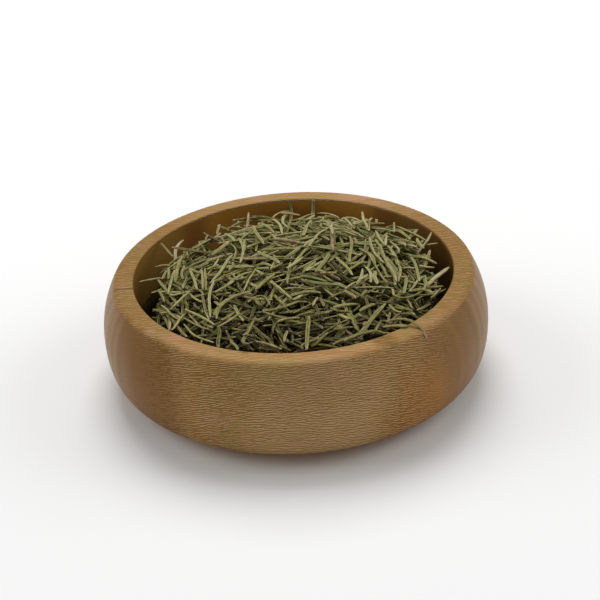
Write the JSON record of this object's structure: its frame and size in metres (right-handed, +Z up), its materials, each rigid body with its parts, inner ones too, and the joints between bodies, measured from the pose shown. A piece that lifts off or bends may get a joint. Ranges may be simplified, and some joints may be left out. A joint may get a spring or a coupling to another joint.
{
  "type": "bowl of dried rosemary leaves",
  "caption": "Turned wooden bowl with a rounded, inward-curving wall and a flat rim, heaped above the rim with loose dried rosemary leaves and a few bits of stalk.",
  "frame": {"origin": "middle of the bowl's foot, on the surface that it stands on", "axes": "+Z up out of the bowl's mouth; +Y away from the side where the heap is highest against the rim, towards the wall that stands bare"},
  "size_m": [0.15, 0.15, 0.0554],
  "materials": {
    "wood": "satin",
    "dried_leaf": "matte",
    "dried_stalk": "matte"
  },
  "bodies": {
    "root": {"bowl": "wood", "leaf_heap": "dried_leaf", "leaf_over_rim_1": "dried_leaf", "leaf_over_rim_2": "dried_leaf", "leaf_over_rim_3": "dried_leaf", "leaf_on_wall_1": "dried_leaf", "leaf_on_wall_2": "dried_leaf", "leaf_on_wall_3": "dried_leaf", "leaf_to_wall_1": "dried_leaf", "leaf_to_wall_2": "dried_leaf", "leaf_to_wall_3": "dried_leaf", "leaf_to_wall_4": "dried_leaf", "leaf_to_wall_5": "dried_leaf", "stalk_1": "dried_stalk", "stalk_2": "dried_stalk", "stalk_3": "dried_stalk", "stalk_4": "dried_stalk", "stalk_5": "dried_stalk", "stalk_6": "dried_stalk", "stalk_7": "dried_stalk"}
  },
  "joints": []
}
